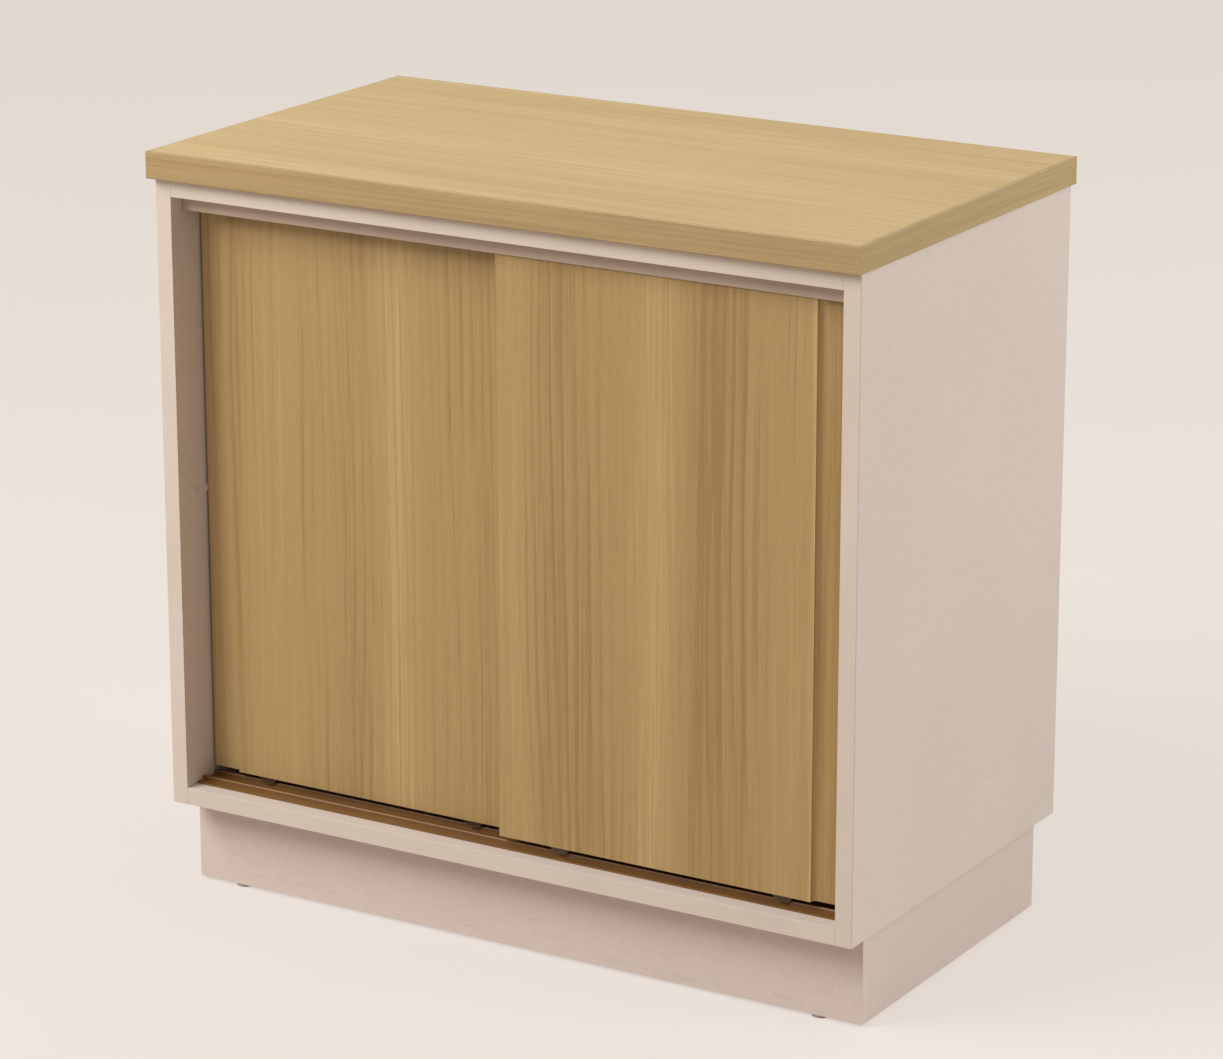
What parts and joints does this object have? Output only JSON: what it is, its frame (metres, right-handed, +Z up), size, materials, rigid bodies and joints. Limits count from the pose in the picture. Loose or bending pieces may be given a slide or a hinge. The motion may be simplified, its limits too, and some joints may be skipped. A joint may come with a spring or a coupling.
{
  "type": "sliding door cabinet",
  "caption": "Low free-standing cupboard with a wood-grain worktop, bypassing wood-grain sliding doors on rollers, a pale carcass with a shelf, and a recessed plinth.",
  "frame": {"origin": "on the floor, under the middle of the worktop", "axes": "+X to the right of a person facing the doors, +Y from the doors to the back, +Z up"},
  "size_m": [0.8, 0.45, 0.78],
  "materials": {
    "worktop_laminate": "pale wood-grain laminate, satin",
    "worktop_edging": "wood-tone edge band, satin",
    "door_laminate": "golden brown wood-grain laminate, satin",
    "door_edging": "wood-tone edge band, satin",
    "carcass_melamine": "pale grey melamine on chipboard, matt",
    "carcass_edging": "pale grey edge band, matt",
    "plinth_melamine": "grey melamine on chipboard, matt",
    "back_board": "pale lacquered hardboard, matt",
    "block_timber": "raw softwood",
    "pale_plastic": "extruded pale plastic, satin",
    "brown_plastic": "extruded dark brown plastic, satin",
    "nylon": "moulded dark nylon",
    "bright_steel": "zinc-plated steel",
    "zinc": "die-cast zinc",
    "buffer_rubber": "soft pale rubber",
    "glide_plastic": "hard plastic, matt"
  },
  "bodies": {
    "carcass": {"worktop": "worktop_laminate", "worktop_front_band": "worktop_edging", "worktop_rear_band": "worktop_edging", "worktop_left_band": "worktop_edging", "worktop_right_band": "worktop_edging", "left_side_panel": "carcass_melamine", "right_side_panel": "carcass_melamine", "carcass_top_panel": "carcass_melamine", "bottom_panel": "carcass_melamine", "back_panel": "back_board", "left_side_band": "carcass_edging", "right_side_band": "carcass_edging", "top_panel_band": "carcass_edging", "bottom_panel_band": "carcass_edging", "shelf": "carcass_melamine", "shelf_band": "carcass_edging", "shelf_pins": "bright_steel", "cam_bolts": "bright_steel", "cam_locks": "zinc", "worktop_screws": "bright_steel", "plinth_front": "plinth_melamine", "plinth_rear": "plinth_melamine", "plinth_left": "plinth_melamine", "plinth_right": "plinth_melamine", "plinth_corner_blocks": "block_timber", "floor_glides": "glide_plastic", "top_track": "pale_plastic", "bottom_track": "brown_plastic", "door_buffers": "buffer_rubber"},
    "left_door": {"left_door_panel": "door_laminate", "left_door_outer_band": "door_edging", "left_door_inner_band": "door_edging", "left_door_roller_housings": "nylon", "left_door_axles": "bright_steel", "left_door_guides": "nylon"},
    "right_door": {"right_door_panel": "door_laminate", "right_door_outer_band": "door_edging", "right_door_inner_band": "door_edging", "right_door_roller_housings": "nylon", "right_door_axles": "bright_steel", "right_door_guides": "nylon"},
    "left_outer_roller": {"left_door_outer_roller": "nylon"},
    "left_inner_roller": {"left_door_inner_roller": "nylon"},
    "right_inner_roller": {"right_door_inner_roller": "nylon"},
    "right_outer_roller": {"right_door_outer_roller": "nylon"}
  },
  "joints": [
    {"name": "left_door_slide", "type": "slide", "parent": "carcass", "child": "left_door", "axis": [1, 0, 0], "range_m": [0, 0.364]},
    {"name": "right_door_slide", "type": "slide", "parent": "carcass", "child": "right_door", "axis": [1, 0, 0], "range_m": [-0.364, 0]},
    {"name": "left_outer_roller_spin", "type": "hinge", "parent": "left_door", "child": "left_outer_roller", "pos_m": [-0.3077, -0.167, 0.12915], "axis": [0, 1, 0], "continuous": true},
    {"name": "left_inner_roller_spin", "type": "hinge", "parent": "left_door", "child": "left_inner_roller", "pos_m": [-0.057, -0.167, 0.12915], "axis": [0, 1, 0], "continuous": true},
    {"name": "right_inner_roller_spin", "type": "hinge", "parent": "right_door", "child": "right_inner_roller", "pos_m": [0.057, -0.187, 0.12915], "axis": [0, 1, 0], "continuous": true},
    {"name": "right_outer_roller_spin", "type": "hinge", "parent": "right_door", "child": "right_outer_roller", "pos_m": [0.3077, -0.187, 0.12915], "axis": [0, 1, 0], "continuous": true}
  ],
  "couplings": [
    {"joint": "left_outer_roller_spin", "follows": "left_door_slide", "rad_per_m": 100},
    {"joint": "left_inner_roller_spin", "follows": "left_door_slide", "rad_per_m": 100},
    {"joint": "right_inner_roller_spin", "follows": "right_door_slide", "rad_per_m": 100},
    {"joint": "right_outer_roller_spin", "follows": "right_door_slide", "rad_per_m": 100}
  ]
}
